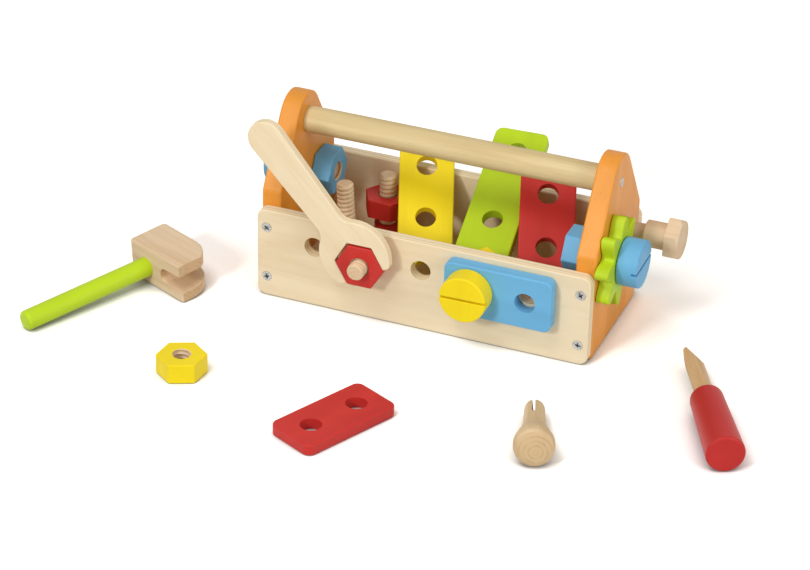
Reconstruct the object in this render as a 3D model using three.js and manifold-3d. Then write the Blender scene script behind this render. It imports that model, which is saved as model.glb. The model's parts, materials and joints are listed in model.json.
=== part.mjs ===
// Toy workbench: a child's wooden toolbox with peg holes, and the bolts, nuts, strips and
// tools that come with it. Millimetres, +Z up, +X along the box to the right, -Y to the front.
// The origin is the centre of the box's underside, on the ground.
import * as THREE from 'three';
import { mergeVertices } from 'three/addons/utils/BufferGeometryUtils.js';
import Module from 'manifold-3d';

const wasm = await Module();
wasm.setup();

// ---------------------------------------------------------------- driving dimensions
const gap = 0.3; // clearance between pieces that touch or turn on each other

const boxLength = 309; // over the outer faces of the end plates
const boxDepth = 141; // over the outer faces of the two panels
const panelHeight = 85.5;
const panelThickness = 10.5;
const panelCorner = 8;
const floorThickness = 10;

const holePitch = 50; // every row of holes in the set
const holeSlack = 3; // a hole is this much wider than a shank
const panelHoles = 5;
const panelHoleHeight = 58.3;

const endThickness = 18;
const shoulderHeight = 98.8; // where the end plate starts to slope in
const shoulderCorner = 10;
const footCorner = 3;
const endTopRadius = 25.5;
const endHoleHeight = 85.2;
const handleHeight = 144.4;
const handleDiameter = 24;

const screwHeadDiameter = 9; // steel countersunk screws
const screwShankDiameter = 4;
const screwLength = 30;
const screwProud = 0.2;
const screwLow = 18.8; // heights of the panel screws
const screwHigh = 68;

const shankDiameter = 15.5; // every wooden thread in the set
const shankLength = 50; // of the slotted screws
const boltShankLength = 48;
const collarStep = 4.2; // a bolt's collar stands out this far from its shank
const collarLength = 20;
const redCollarLength = 15.3; // of the red bolt
const hexHeadRadius = 19.6;
const hexHeadThickness = 13;
const hexHeadChamfer = 0.6; // at the middle of a flat, growing towards the corners
const slottedHeadDiameter = 42.4;
const slottedHeadThickness = 19;
const slotWidth = 2.4;
const slotDepth = 5;
const nutRadius = 22.2; // centre to corner
const nutThickness = 18;
const frontBoltStickOut = 10.7; // thread that shows past the front nut
const endBoltStickOut = 17.1; // thread that shows between the end plate and the bolt's collar
const endBoltSide = 30; // degrees above the back: where its shank lies against its hole
const leftScrewStandOff = 9.2; // thread that shows between the end plate and the screw's head
const leftScrewRecess = 4; // its end stays inside the nut

const stripWidth = 49.3;
const stripThickness = 10.4;
const longStripHoles = 3;
const stripCorner = 7;
const bluePlateThickness = 12;
const greenStripLength = 152;
const greenHoleSetbacks = [24, 100]; // from its upper end

const gearTeeth = 8;
const gearTipRadius = 41;
const gearValleyRadius = 26.5;
const gearThickness = 12;

const spannerThickness = 8;
const spannerRim = 10.8; // the head is this much wider than the nut's corners, all round
const spannerReach = 126; // centre of the head to centre of the round end
const spannerEndRadius = 17.5;
const spannerNeck = 13; // half width next to the head
const spannerStandOff = 9.8; // back face to the front panel
const spannerLean = 131; // degrees, handle up from +X
const spannerSkew = -11; // degrees, jaw to handle
const spannerJawOffset = 10.4; // centre of the nut to centre of the head
const spannerMouth = 0.45; // the jaw reaches past the nut's centre by this share of its radius
const spannerSlack = 1.4; // the jaw's root is this much deeper than the nut's corner

const hammerLength = 72;
const hammerDepth = 40;
const hammerHeight = 36;
const hammerHandleDiameter = 18;
const hammerHandleHeight = 16.4; // its axis above the underside of the head
const hammerHandleReach = 131.5; // free end to the side of the head
const hammerHandleSkew = -2; // degrees, from square to the head
const hammerHandleInset = 22; // handle axis to the striking face
const hammerSocketDepth = 24;
const clawMouth = 16; // height of the slot where it opens
const clawSlotFloor = 9.5;
const clawSlotTaper = 0.8; // it narrows this much above and below
const clawSlotEnd = 42; // inner end of the slot, from the striking face
const clawCorner = 28; // rounding of the claw's far corner
const clawLipStep = 3; // the upper lip is this much shorter

const screwdriverHandleLength = 90;
const screwdriverButtRadius = 16.6;
const screwdriverNeckRadius = 14.4;
const bladeDiameter = 16;
const bladeLength = 74; // outside the handle
const bladeWedge = 26; // length of the two flats at its tip
const bladeTip = 3;
const bladeSocketDepth = 20;

const leaningBoltAngle = 4; // degrees
const leaningBoltPlace = [-94.5, 68]; // x, and distance to the inside of the back panel
const redBoltSetback = 26; // to the inside of the back panel
const redNutAside = 41.5; // its nut's corner to the middle of the yellow strip's foot, along X
const redNutRise = 9.7; // nut above the collar

const yellowStripFoot = [-9.3, 96.5]; // the middle of each low edge, measured the same way
const redStripFoot = [106, 107];
const greenStripX = 36.6;
const lowEdgeSink = 0.85; // a strip's rounded low edge comes this much nearer the floor

const redPlatePlace = [-7.9, -240.9]; // where the loose pieces lie
const looseNutPlace = [-157.9, -218.1];
const hammerPlace = [-271.8, -84.5];
const hammerBearing = -25; // degrees
const screwdriverPlace = [309.4, -179];
const screwdriverBearing = 117;
const screwdriverRoll = 45;
const pegPlace = [165.7, -237];
const pegBearing = 109;

const pegLength = 84;
const pegHeadRadius = 17.3;
const pegShankRadius = 8.9;
const pegSlotWidth = 2.7;
const pegSlotLength = 29;
const pegSlotTurn = -8; // degrees off upright, as it lies

const panelEase = 1.2; // rounding of the sanded edges
const paintedEase = 1.5;
const arcStep = Math.PI / 9; // one facet of a round outline

const holeDiameter = shankDiameter + holeSlack;
const collarDiameter = shankDiameter + 2 * collarStep;
const shankSag = holeSlack / 2 - gap; // a shank lies this far off the centre of its hole
const nutFlat = nutRadius * Math.cos(Math.PI / 6); // centre to flat
const spannerHeadRadius = nutRadius + spannerRim;

// ---------------------------------------------------------------- finishes
const finishes = {
  birch: { color: 0xe8d9b8, roughness: 0.6, metalness: 0 },
  maple: { color: 0xdcc3a0, roughness: 0.62, metalness: 0 },
  orange: { color: 0xf09a3c, roughness: 0.5, metalness: 0 },
  yellow: { color: 0xf5dc32, roughness: 0.45, metalness: 0 },
  green: { color: 0xb2d42d, roughness: 0.45, metalness: 0 },
  red: { color: 0xc33730, roughness: 0.45, metalness: 0 },
  blue: { color: 0x73afde, roughness: 0.45, metalness: 0 },
  steel: { color: 0xb8b8b4, roughness: 0.35, metalness: 1 },
};

// ---------------------------------------------------------------- outlines
function arcPoints(x, y, radius, from, to) {
  const count = Math.max(1, Math.round(Math.abs(to - from) / arcStep));
  return Array.from({ length: count + 1 }, (_, i) => {
    const angle = from + ((to - from) * i) / count;
    return new THREE.Vector2(x + radius * Math.cos(angle), y + radius * Math.sin(angle));
  });
}

function circle(x, y, diameter) {
  return arcPoints(x, y, diameter / 2, 0, 2 * Math.PI).slice(0, -1);
}

// A closed outline, counterclockwise, whose corners [x, y, radius] are each rounded.
function roundedOutline(corners) {
  return corners.flatMap(([x, y, radius], i) => {
    const before = corners[(i + corners.length - 1) % corners.length];
    const after = corners[(i + 1) % corners.length];
    const corner = new THREE.Vector2(x, y);
    const back = new THREE.Vector2(before[0], before[1]).sub(corner).normalize();
    const ahead = new THREE.Vector2(after[0], after[1]).sub(corner).normalize();
    const half = Math.acos(back.dot(ahead)) / 2;
    const centre = back.clone().add(ahead).setLength(radius / Math.sin(half)).add(corner);
    const side = -Math.sign(back.cross(ahead));
    const start = back.clone().negate().angle() - (side * Math.PI) / 2;
    return arcPoints(centre.x, centre.y, radius, start, start + side * (Math.PI - 2 * half));
  });
}

function roundedRectangle(length, width, radius) {
  const x = length / 2;
  const y = width / 2;
  return roundedOutline([[-x, -y, radius], [x, -y, radius], [x, y, radius], [-x, y, radius]]);
}

function hexagon(cornerRadius, rounding) {
  return roundedOutline(Array.from({ length: 6 }, (_, i) => {
    const angle = (i * Math.PI) / 3;
    return [cornerRadius * Math.cos(angle), cornerRadius * Math.sin(angle), rounding];
  }));
}

// The direction, seen from a circle's centre, in which a line from a point touches it.
function tangentAngle(x, y, centreX, centreY, radius) {
  const reach = Math.hypot(x - centreX, y - centreY);
  return Math.atan2(y - centreY, x - centreX) + Math.acos(radius / reach);
}

function holeRow(count) {
  return Array.from({ length: count }, (_, i) => (i - (count - 1) / 2) * holePitch);
}

// ---------------------------------------------------------------- solids
// A prism along +Z from an outline, with its edges rounded over.
function easedPrism(outline, holes, thickness, ease) {
  const shape = new THREE.Shape(outline);
  shape.holes = holes.map((points) => new THREE.Path(points));
  const geometry = new THREE.ExtrudeGeometry(shape, {
    depth: thickness - 2 * ease,
    bevelThickness: ease,
    bevelSize: ease,
    bevelOffset: -ease,
    bevelSegments: 1,
  });
  return geometry.translate(0, 0, ease);
}

function prism(outline, thickness) {
  const shape = new THREE.Shape(outline);
  return new THREE.ExtrudeGeometry(shape, { depth: thickness, bevelEnabled: false });
}

// A solid of revolution about +Z from [radius, height] points, lowest first.
function turned(profile, segments = 20) {
  const points = profile.map(([radius, height]) => new THREE.Vector2(radius, height));
  return new THREE.LatheGeometry(points, segments).rotateX(Math.PI / 2);
}

// The profile of a rod with chamfered ends.
function rodProfile(radius, from, to, chamfer) {
  return [[0, from], [radius - chamfer, from], [radius, from + chamfer],
    [radius, to - chamfer], [radius - chamfer, to], [0, to]];
}

function rod(diameter, from, to, chamfer) {
  return turned(rodProfile(diameter / 2, from, to, chamfer));
}

function toManifold(geometry) {
  const bare = geometry.clone();
  bare.deleteAttribute('normal');
  bare.deleteAttribute('uv');
  const merged = mergeVertices(bare);
  const corners = merged.index.array;
  const triangles = [];
  for (let i = 0; i < corners.length; i += 3) {
    const [a, b, c] = corners.slice(i, i + 3);
    if (a !== b && b !== c && c !== a) triangles.push(a, b, c);
  }
  return new wasm.Manifold(new wasm.Mesh({
    numProp: 3,
    vertProperties: merged.attributes.position.array,
    triVerts: Uint32Array.from(triangles),
  }));
}

function fromManifold(solid) {
  const mesh = solid.getMesh();
  const geometry = new THREE.BufferGeometry();
  geometry.setAttribute('position', new THREE.BufferAttribute(mesh.vertProperties, 3));
  geometry.setIndex(new THREE.BufferAttribute(mesh.triVerts, 1));
  geometry.computeVertexNormals();
  return geometry;
}

function join(first, ...others) {
  return fromManifold(others.reduce((solid, other) => solid.add(toManifold(other)), toManifold(first)));
}

function cut(first, ...tools) {
  return fromManifold(tools.reduce((solid, tool) => solid.subtract(toManifold(tool)), toManifold(first)));
}

function intersect(first, second) {
  return fromManifold(toManifold(first).intersect(toManifold(second)));
}

// ---------------------------------------------------------------- placing
const workbench = new THREE.Group();

const X = new THREE.Vector3(1, 0, 0);
const Y = new THREE.Vector3(0, 1, 0);
const Z = new THREE.Vector3(0, 0, 1);

function turnedTo(x, y, z) {
  return new THREE.Quaternion().setFromRotationMatrix(new THREE.Matrix4().makeBasis(x, y, z));
}

// Which way a piece's own +Z points. Its own +Y stays upright on the four sides.
const aims = {
  up: turnedTo(X, Y, Z),
  down: turnedTo(X, Y.clone().negate(), Z.clone().negate()),
  front: turnedTo(X, Z, Y.clone().negate()),
  back: turnedTo(X.clone().negate(), Z, Y),
  right: turnedTo(Y, Z, X),
  left: turnedTo(Y.clone().negate(), Z, X.clone().negate()),
};

function addPart(name, geometry, finish, position, aim = aims.up, spin = 0) {
  const mesh = new THREE.Mesh(geometry, new THREE.MeshStandardMaterial(finishes[finish]));
  mesh.name = name;
  mesh.position.set(...position);
  mesh.quaternion.copy(aim).multiply(new THREE.Quaternion().setFromAxisAngle(Z, spin));
  workbench.add(mesh);
  return mesh;
}

function radians(degrees) {
  return (degrees * Math.PI) / 180;
}

// Lowers or lifts a tilted piece until its lowest point is on the ground.
function layOnGround(piece) {
  piece.position.z -= new THREE.Box3().setFromObject(piece, true).min.z;
}

// ---------------------------------------------------------------- shared pieces
// Threaded pieces have their seat at z = 0: the shank points down and the head is above.
function hexBolt(length, collarHeight) {
  const collar = collarDiameter / 2;
  const shank = shankDiameter / 2;
  const turning = turned([[0, -length], [shank - 1, -length], [shank, 1 - length], [shank, 0],
    [collar - 0.8, 0], [collar, 0.8], [collar, collarHeight + 2], [0, collarHeight + 2]]);
  return join(hexHead().translate(0, 0, collarHeight), turning);
}

// A hexagonal head whose outer corners are turned off to a cone.
function hexHead() {
  const flat = hexHeadRadius * Math.cos(Math.PI / 6);
  const face = flat - hexHeadChamfer;
  const wide = hexHeadRadius + 1;
  const cone = turned([[0, -1], [wide, -1], [wide, hexHeadThickness - wide + face],
    [face, hexHeadThickness], [0, hexHeadThickness]], 24);
  return intersect(prism(hexagon(hexHeadRadius, 2), hexHeadThickness), cone);
}

function slottedScrew(length) {
  const head = slottedHeadDiameter / 2;
  const shank = shankDiameter / 2;
  const top = slottedHeadThickness;
  const turning = turned([[0, -length], [shank - 1, -length], [shank, 1 - length], [shank, 0],
    [head - 1.2, 0], [head, 1.2], [head, top - 1.2], [head - 1.2, top], [0, top]], 28);
  const slot = new THREE.BoxGeometry(slottedHeadDiameter + 2, slotWidth, 2 * slotDepth);
  return cut(turning, slot.translate(0, 0, top));
}

function nut() {
  const bore = circle(0, 0, shankDiameter + 2 * gap);
  return easedPrism(hexagon(nutRadius, 2.5), [bore], nutThickness, paintedEase);
}

// A strip or plate with its holes at the given places along its length.
function holedStrip(length, holes, thickness) {
  const bores = holes.map((x) => circle(x, 0, holeDiameter));
  return easedPrism(roundedRectangle(length, stripWidth, stripCorner), bores, thickness, paintedEase);
}

function stripLength(holes) {
  return holes * holePitch - 2;
}

function woodScrewProfile(clearance) {
  const head = screwHeadDiameter / 2 + clearance;
  const shank = screwShankDiameter / 2 + clearance;
  return [[0, -screwLength - clearance], [shank, 4 - screwLength], [shank, shank - head - clearance],
    [head, -clearance]];
}

// A countersunk steel screw, its head all but flush.
function woodScrew() {
  return turned([...woodScrewProfile(0), [screwHeadDiameter / 2, screwProud], [0, screwProud]], 8);
}

function screwHole() {
  return turned([...woodScrewProfile(gap), [screwHeadDiameter / 2 + gap, 2], [0, 2]], 8);
}

// ---------------------------------------------------------------- carcass
const frontFace = -boxDepth / 2;
const backFace = boxDepth / 2;
const endFace = boxLength / 2;
const innerDepth = boxDepth / 2 - panelThickness; // half the inside, front to back
const innerLength = boxLength / 2 - endThickness; // half the inside, end to end
const screwInset = endThickness / 2;
const ends = [{ side: 'left', sign: -1 }, { side: 'right', sign: 1 }];
const rows = [{ row: 'low', height: screwLow }, { row: 'high', height: screwHigh }];
const panelScrews = ends.flatMap(({ side, sign }) => rows.map(({ row, height }) => (
  { label: `${side}_${row}`, x: sign * (endFace - screwInset), height })));

// The outer face is at z = 0 and the panel stands on y = 0.
function panel(holeCount) {
  const middle = new THREE.Vector2(0, panelHeight / 2);
  const outline = roundedRectangle(boxLength, panelHeight, panelCorner).map((point) => point.add(middle));
  const holes = holeRow(holeCount).map((x) => circle(x, panelHoleHeight, holeDiameter));
  const board = easedPrism(outline, holes, panelThickness, panelEase).translate(0, 0, -panelThickness);
  return cut(board, ...panelScrews.map(({ x, height }) => screwHole().translate(x, height, 0)));
}

// The outline runs up one side, round the top about the handle's axis and down the other side.
function endPlateOutline() {
  const touch = tangentAngle(innerDepth, shoulderHeight, 0, handleHeight, endTopRadius);
  const crown = endTopRadius / Math.cos((Math.PI / 2 - touch) / 2);
  const crownAngle = (touch + Math.PI / 2) / 2;
  const crownX = crown * Math.cos(crownAngle);
  const crownHeight = handleHeight + crown * Math.sin(crownAngle);
  return roundedOutline([
    [-innerDepth, 0, footCorner], [innerDepth, 0, footCorner],
    [innerDepth, shoulderHeight, shoulderCorner], [crownX, crownHeight, endTopRadius],
    [-crownX, crownHeight, endTopRadius], [-innerDepth, shoulderHeight, shoulderCorner],
  ]);
}

// The outer face is at z = 0; x runs along the box's depth and y is up.
function endPlate() {
  const holes = [-1, 1].map((sign) => circle((sign * holePitch) / 2, endHoleHeight, holeDiameter));
  const board = easedPrism(endPlateOutline(), holes, endThickness, paintedEase)
    .translate(0, 0, -endThickness);
  const fromPanels = [-1, 1].flatMap((sign) => rows.map(({ height }) => (
    screwHole().rotateY((sign * Math.PI) / 2).translate((sign * boxDepth) / 2, height, -screwInset))));
  return cut(board, screwHole().translate(0, handleHeight, 0), ...fromPanels);
}

function handle() {
  const dowel = turned([[0, -innerLength], [handleDiameter / 2, -innerLength],
    [handleDiameter / 2, innerLength], [0, innerLength]], 28);
  const screwSeat = innerLength + endThickness;
  const topHole = screwHole().translate(0, 0, screwSeat);
  const bottomHole = screwHole().rotateX(Math.PI).translate(0, 0, -screwSeat);
  return cut(dowel, topHole, bottomHole);
}

addPart('front_panel', panel(panelHoles), 'birch', [0, frontFace, 0], aims.front);
addPart('back_panel', panel(0), 'birch', [0, backFace, 0], aims.back);
addPart('end_plate_right', endPlate(), 'orange', [endFace, 0, 0], aims.right);
addPart('end_plate_left', endPlate(), 'orange', [-endFace, 0, 0], aims.left);
addPart('bottom_board', new THREE.BoxGeometry(2 * innerLength, 2 * innerDepth, floorThickness),
  'birch', [0, 0, floorThickness / 2]);
addPart('handle', handle(), 'birch', [0, 0, handleHeight], aims.right);

panelScrews.forEach(({ label, x, height }) => {
  addPart(`front_screw_${label}`, woodScrew(), 'steel', [x, frontFace, height], aims.front);
  addPart(`back_screw_${label}`, woodScrew(), 'steel', [x, backFace, height], aims.back);
});
addPart('handle_screw_right', woodScrew(), 'steel', [endFace, 0, handleHeight], aims.right);
addPart('handle_screw_left', woodScrew(), 'steel', [-endFace, 0, handleHeight], aims.left);

// ---------------------------------------------------------------- front: bolt, nut and spanner
const panelHoleX = holeRow(panelHoles);

function addFrontBolt() {
  const x = panelHoleX[1];
  const height = panelHoleHeight + shankSag; // clamped high in its hole
  const length = panelThickness + nutThickness + frontBoltStickOut + 2 * gap;
  addPart('front_bolt', hexBolt(length, 0), 'maple', [x, -innerDepth + gap, height], aims.back);
  addPart('front_nut', nut(), 'red', [x, frontFace - gap, height], aims.front);
  const standOff = frontFace - spannerStandOff;
  addPart('spanner', spanner(), 'birch', [x, standOff, height], aims.front, radians(spannerLean));
}

// The spanner's origin is the middle of the nut in its jaw, and its handle points along +X.
// The jaw opens at a skew from the handle, as on a real open-ended spanner.
function spanner() {
  const skew = radians(spannerSkew);
  const jawX = spannerJawOffset * Math.cos(skew); // the head's centre, from the nut's
  const jawY = spannerJawOffset * Math.sin(skew);
  const atHead = (distance, angle) => (
    [jawX + distance * Math.cos(angle), jawY + distance * Math.sin(angle)]);
  const inJaw = (along, across) => [along * Math.cos(skew) - across * Math.sin(skew),
    along * Math.sin(skew) + across * Math.cos(skew)];
  const half = nutFlat + gap;
  const wall = half * Math.tan(Math.PI / 6);
  const mouth = -spannerMouth * nutRadius;
  const bend = radians(120); // where the head's round stops and the jaw's tip begins
  const tip = (spannerHeadRadius - (mouth - spannerJawOffset) * Math.cos(bend)) / Math.sin(bend);
  const neckTurn = radians(35);
  const neckX = (spannerHeadRadius - spannerNeck * Math.sin(neckTurn)) / Math.cos(neckTurn);
  const cheek = (from, to) => atHead(spannerHeadRadius / Math.cos((to - from) / 2), (from + to) / 2);
  const endX = jawX + spannerReach + spannerEndRadius;
  return easedPrism(roundedOutline([
    [endX, jawY - spannerEndRadius, spannerEndRadius - 1],
    [endX, jawY + spannerEndRadius, spannerEndRadius - 1],
    [jawX + neckX, jawY + spannerNeck, 12],
    [...cheek(neckTurn, skew + bend), spannerHeadRadius],
    [...inJaw(mouth, tip), 3.5],
    [...inJaw(mouth, half), 1.5],
    [...inJaw(wall + spannerSlack, half), 1],
    [...inJaw(half / Math.cos(Math.PI / 6) + spannerSlack, 0), 1],
    [...inJaw(wall + spannerSlack, -half), 1],
    [...inJaw(mouth, -half), 1.5],
    [...inJaw(mouth, -tip), 3.5],
    [...cheek(-neckTurn, skew - bend), spannerHeadRadius],
    [jawX + neckX, jawY - spannerNeck, 12],
  ]), [], spannerThickness, panelEase);
}

addFrontBolt();

// ---------------------------------------------------------------- front: blue plate on its screw
const plateScrewX = panelHoleX[3];
const plateScrewHeight = panelHoleHeight - shankSag;
const plateScrewSeat = frontFace - 2 * gap - bluePlateThickness;
const plateScrewEnd = plateScrewSeat + shankLength;

addPart('blue_plate', holedStrip(stripLength(2), holeRow(2), bluePlateThickness), 'blue',
  [plateScrewX + holePitch / 2, frontFace - gap, plateScrewHeight - shankSag], aims.front);
addPart('plate_screw', slottedScrew(shankLength), 'yellow',
  [plateScrewX, plateScrewSeat, plateScrewHeight], aims.front, radians(1));
addPart('plate_nut', nut(), 'yellow', [plateScrewX, -innerDepth + gap, plateScrewHeight], aims.back,
  radians(30));

// ---------------------------------------------------------------- right end: gear and bolt
const endShankHeight = endHoleHeight - shankSag;
const endShankY = holePitch / 2;

function gear() {
  const middle = (gearTipRadius + gearValleyRadius) / 2;
  const swing = (gearTipRadius - gearValleyRadius) / 2;
  const steps = gearTeeth * 8;
  const outline = Array.from({ length: steps }, (_, i) => {
    const angle = (2 * Math.PI * i) / steps;
    const radius = middle + swing * Math.cos(gearTeeth * angle);
    return new THREE.Vector2(radius * Math.cos(angle), radius * Math.sin(angle));
  });
  return easedPrism(outline, [circle(0, 0, holeDiameter)], gearThickness, 1);
}

addPart('gear', gear(), 'green', [endFace + gap, -endShankY, endShankHeight - shankSag], aims.right,
  radians(174.2));
addPart('gear_screw', slottedScrew(shankLength), 'blue',
  [endFace + 2 * gap + gearThickness, -endShankY, endShankHeight], aims.right, radians(2));
addPart('gear_nut', nut(), 'blue', [innerLength - gap, -endShankY, endShankHeight], aims.left);
addPart('end_bolt', hexBolt(boltShankLength, collarLength), 'maple', [
  endFace + endBoltStickOut,
  endShankY + shankSag * Math.cos(radians(endBoltSide)),
  endHoleHeight + shankSag * Math.sin(radians(endBoltSide)),
], aims.right, radians(30));

// ---------------------------------------------------------------- left end: screw and nut
const leftShank = leftScrewStandOff + endThickness + nutThickness + gap - leftScrewRecess;
addPart('left_screw', slottedScrew(leftShank), 'blue',
  [-endFace - leftScrewStandOff, endShankY, endShankHeight], aims.left, radians(75));
addPart('left_nut', nut(), 'blue', [-innerLength + gap, endShankY, endShankHeight], aims.right,
  radians(1));

// ---------------------------------------------------------------- bolts standing in the box
function addStandingBolts() {
  const lean = radians(leaningBoltAngle);
  const lift = hexHeadRadius * Math.sin(lean) + floorThickness + gap;
  const seat = (collarLength + hexHeadThickness) * Math.cos(lean);
  const leaning = aims.down.clone().premultiply(new THREE.Quaternion().setFromAxisAngle(Y, -lean));
  const [leanX, leanSetback] = leaningBoltPlace;
  addPart('leaning_bolt', hexBolt(boltShankLength, collarLength), 'maple',
    [leanX, innerDepth - leanSetback, lift + seat], leaning, radians(20));

  const x = yellowStripFoot[0] - redNutAside - nutRadius;
  const y = innerDepth - redBoltSetback;
  const redSeat = floorThickness + gap + hexHeadThickness + redCollarLength;
  addPart('red_bolt', hexBolt(boltShankLength, redCollarLength), 'red', [x, y, redSeat], aims.down,
    radians(-8));
  addPart('red_bolt_nut', nut(), 'red', [x, y, redSeat + redNutRise], aims.up, radians(-3));
}

addStandingBolts();

// ---------------------------------------------------------------- strips leaning on the back
// A straight edge as a row of points a millimetre apart, to lean a strip over.
function edgePoints(from, to) {
  const count = Math.ceil(from.distanceTo(to));
  return Array.from({ length: count + 1 }, (_, i) => from.clone().lerp(to, i / count));
}

// A strip's low edge lies at one place, and its underside clears every point that it lies over.
function leanStrip(strip, low, bearing, length, under) {
  const ahead = new THREE.Vector3(-Math.sin(bearing), Math.cos(bearing), 0);
  const across = new THREE.Vector3().crossVectors(Z, ahead);
  const slope = Math.max(...under.map((point) => {
    const away = point.clone().sub(low);
    const along = away.dot(ahead);
    const beside = Math.abs(away.dot(across)) > stripWidth / 2;
    if (beside || along <= 0 || along > length) return 0;
    return Math.atan2(away.z, along) + Math.asin(gap / Math.hypot(along, away.z));
  }));
  const upSlope = ahead.clone().multiplyScalar(Math.cos(slope)).addScaledVector(Z, Math.sin(slope));
  const normal = new THREE.Vector3().crossVectors(upSlope, across);
  strip.quaternion.copy(turnedTo(upSlope, across, normal));
  strip.position.copy(low).addScaledVector(upSlope, length / 2);
  const rightTop = new THREE.Vector3(0, -stripWidth / 2, stripThickness);
  return [-1, 1].map((end) => rightTop.clone().setX((end * length) / 2)
    .applyQuaternion(strip.quaternion).add(strip.position));
}

function addStrips() {
  const length = stripLength(longStripHoles);
  const onFloor = floorThickness + gap - lowEdgeSink;
  const backEdge = edgePoints(new THREE.Vector3(-innerLength, innerDepth + panelEase, panelHeight),
    new THREE.Vector3(innerLength, innerDepth + panelEase, panelHeight));

  const yellow = addPart('yellow_strip', holedStrip(length, holeRow(longStripHoles), stripThickness),
    'yellow', [0, 0, 0]);
  const footAt = ([x, setback]) => new THREE.Vector3(x, innerDepth - setback, onFloor);
  leanStrip(yellow, footAt(yellowStripFoot), radians(21), length, backEdge);

  const greenHoles = greenHoleSetbacks.map((setback) => greenStripLength / 2 - setback);
  const green = addPart('green_strip', holedStrip(greenStripLength, greenHoles, stripThickness),
    'green', [0, 0, 0]);
  const greenFoot = new THREE.Vector3(greenStripX, plateScrewEnd + gap + stripThickness / 2,
    plateScrewHeight - shankDiameter);
  const greenEdge = leanStrip(green, greenFoot, radians(3.2), greenStripLength, backEdge);

  const red = addPart('red_strip', holedStrip(length, holeRow(longStripHoles), stripThickness),
    'red', [0, 0, 0]);
  leanStrip(red, footAt(redStripFoot), radians(19), length,
    [...backEdge, ...edgePoints(...greenEdge)]);
}

addStrips();

// ---------------------------------------------------------------- loose pieces on the ground
addPart('red_plate', holedStrip(stripLength(2), holeRow(2), stripThickness), 'red',
  [...redPlatePlace, 0], aims.up, radians(64.5));
addPart('loose_nut', nut(), 'yellow', [...looseNutPlace, 0], aims.up, radians(25));

// The hammer lies on one face of its head and on the far end of its handle. Its own frame has
// x along the head from the striking face, y across the head away from the handle, z up.
function hammerHead() {
  const block = easedPrism(roundedOutline([[0, 0, 3], [hammerLength, 0, 2],
    [hammerLength, hammerDepth, clawCorner], [0, hammerDepth, 4]]), [], hammerHeight, paintedEase);
  const slotTop = clawSlotFloor + clawMouth;
  const slotRound = 0.42 * clawMouth; // its inner end is all but a half circle
  const slot = prism(roundedOutline([[clawSlotEnd, clawSlotFloor + clawSlotTaper, slotRound],
    [hammerLength, clawSlotFloor, 1], [hammerLength + 20, clawSlotFloor, 1],
    [hammerLength + 20, slotTop, 1], [hammerLength, slotTop, 1],
    [clawSlotEnd, slotTop - clawSlotTaper, slotRound]]), hammerDepth + 20)
    .rotateX(Math.PI / 2).translate(0, hammerDepth + 10, 0);
  const trim = new THREE.BoxGeometry(40, 3 * hammerDepth, hammerHeight)
    .translate(hammerLength + 20 - clawLipStep, 0, slotTop - clawMouth / 2 + hammerHeight / 2);
  const socket = rod(hammerHandleDiameter + 2 * gap, -10, hammerSocketDepth, 1)
    .rotateX(-Math.PI / 2).rotateZ(radians(hammerHandleSkew))
    .translate(hammerHandleInset, 0, hammerHandleHeight);
  return cut(block, slot, trim, socket);
}

function hammerHandle() {
  const radius = hammerHandleDiameter / 2;
  const inner = gap - hammerSocketDepth;
  const reach = hammerHandleReach;
  return turned([[0, inner], [radius - 1, inner], [radius, inner + 1], [radius, reach - 3],
    [radius - 0.9, reach - 0.9], [radius - 3, reach], [0, reach]]);
}

function addHammer() {
  const hammer = new THREE.Group();
  const drop = hammerHandleHeight - hammerHandleDiameter / 2;
  hammer.rotation.set(Math.atan2(drop, hammerHandleReach), 0, radians(hammerBearing), 'ZYX');
  hammer.position.set(...hammerPlace, 0);
  workbench.add(hammer);
  const head = addPart('hammer_head', hammerHead(), 'maple', [0, 0, 0]);
  const skew = new THREE.Quaternion().setFromAxisAngle(Z, radians(hammerHandleSkew));
  const grip = addPart('hammer_handle', hammerHandle(), 'green',
    [hammerHandleInset, 0, hammerHandleHeight], aims.front.clone().premultiply(skew));
  hammer.add(head, grip);
  layOnGround(hammer);
}

addHammer();

// The screwdriver lies on the two ends of its tapered handle, its butt at the origin and its
// blade along +Z of its own frame.
function addScrewdriver() {
  const driver = new THREE.Group();
  const taper = Math.asin((screwdriverButtRadius - screwdriverNeckRadius) / screwdriverHandleLength);
  driver.rotation.set(0, Math.PI / 2 + taper, radians(screwdriverBearing), 'ZYX');
  driver.position.set(...screwdriverPlace, screwdriverButtRadius);
  workbench.add(driver);
  const length = screwdriverHandleLength;
  const butt = screwdriverButtRadius;
  const neck = screwdriverNeckRadius;
  const grip = turned([[0, 0], [butt - 2.5, 0], [butt - 0.8, 0.8], [butt, 2.5], [neck, length - 5],
    [neck - 1.4, length - 1.4], [neck - 5, length], [0, length]], 24);
  const socket = rod(bladeDiameter + 2 * gap, length - bladeSocketDepth, length + 10, 1);
  const handlePart = addPart('screwdriver_handle', cut(grip, socket), 'red', [0, 0, 0]);
  const tipZ = length + bladeLength;
  const dowel = rod(bladeDiameter, length - bladeSocketDepth + gap, tipZ, 1);
  const slant = Math.atan2((bladeDiameter - bladeTip) / 2, bladeWedge);
  const bevels = [-1, 1].map((side) => new THREE.BoxGeometry(20, 40, 3 * bladeWedge)
    .translate(side * 10, 0, 0).rotateY(-side * slant).translate((side * bladeTip) / 2, 0, tipZ));
  const blade = addPart('screwdriver_blade', cut(dowel, ...bevels), 'maple', [0, 0, 0], aims.up,
    radians(screwdriverRoll));
  driver.add(handlePart, blade);
  layOnGround(driver);
}

addScrewdriver();

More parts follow.
